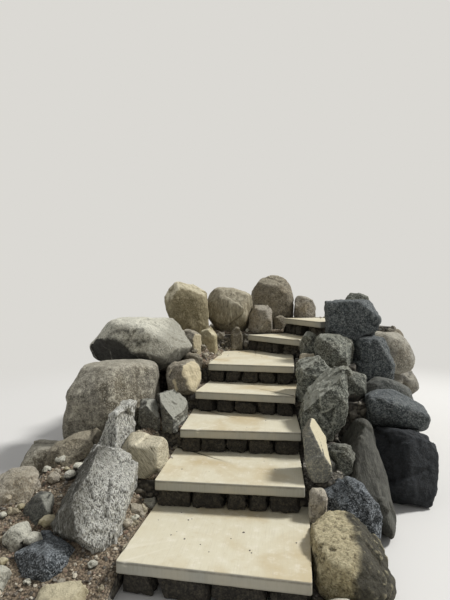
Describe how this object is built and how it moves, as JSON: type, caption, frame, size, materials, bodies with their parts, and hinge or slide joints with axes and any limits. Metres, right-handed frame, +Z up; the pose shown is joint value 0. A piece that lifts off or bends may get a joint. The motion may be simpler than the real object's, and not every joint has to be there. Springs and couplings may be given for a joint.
{
  "type": "boulder-flanked garden steps",
  "caption": "Turning outdoor flight of sawn stone slab treads on rubble risers, set between stacked granite boulders.",
  "frame": {"origin": "on the ground, under the bottom slab", "axes": "+X across the flight to a climber's right, +Y up the flight, +Z up"},
  "size_m": [3.7987, 5.3009, 2.005],
  "materials": {
    "sawn_limestone": "sawn pale limestone with eased edges",
    "squared_rubble": "rough squared rubble with open joints",
    "gravel_packing": "packed gravel and rubble",
    "grey_granite": "split granite, speckled",
    "blue_grey_granite": "weathered blue grey granite",
    "tan_stone": "grained tan stone",
    "cream_stone": "cream weathered boulder"
  },
  "bodies": {
    "root": {"base_course_1": "grey_granite", "base_course_2": "grey_granite", "base_course_3": "grey_granite", "head_cream_boulder": "cream_stone", "head_middle_boulder": "cream_stone", "head_small_stones": "cream_stone", "head_tall_boulder": "cream_stone", "left_cream_boulder": "tan_stone", "left_far_boulder": "grey_granite", "left_foot_boulder": "grey_granite", "left_front_boulder": "blue_grey_granite", "left_grained_boulder": "tan_stone", "left_great_boulder": "grey_granite", "left_low_boulder": "grey_granite", "left_outer_boulder": "grey_granite", "left_overhanging_boulder": "grey_granite", "left_round_boulder": "tan_stone", "left_small_stones": "grey_granite", "left_spike_boulder": "grey_granite", "left_split_boulder": "grey_granite", "packing_lower": "gravel_packing", "packing_upper": "gravel_packing", "right_base_boulders": "grey_granite", "right_block_boulder": "blue_grey_granite", "right_dark_boulder": "blue_grey_granite", "right_foot_boulder": "tan_stone", "right_grey_boulder": "blue_grey_granite", "right_leaning_boulder": "grey_granite", "right_long_boulder": "tan_stone", "right_oval_boulder": "blue_grey_granite", "right_rear_boulder": "grey_granite", "right_shard_boulder": "grey_granite", "right_small_stones": "grey_granite", "right_speckled_boulder": "blue_grey_granite", "right_upper_boulder": "blue_grey_granite", "riser_1": "squared_rubble", "riser_2": "squared_rubble", "riser_3": "squared_rubble", "riser_4": "squared_rubble", "riser_5": "squared_rubble", "riser_6": "squared_rubble", "riser_7": "squared_rubble", "tread_1": "sawn_limestone", "tread_2": "sawn_limestone", "tread_3": "sawn_limestone", "tread_4": "sawn_limestone", "tread_5": "sawn_limestone", "tread_6": "sawn_limestone", "tread_7": "sawn_limestone"}
  },
  "joints": []
}
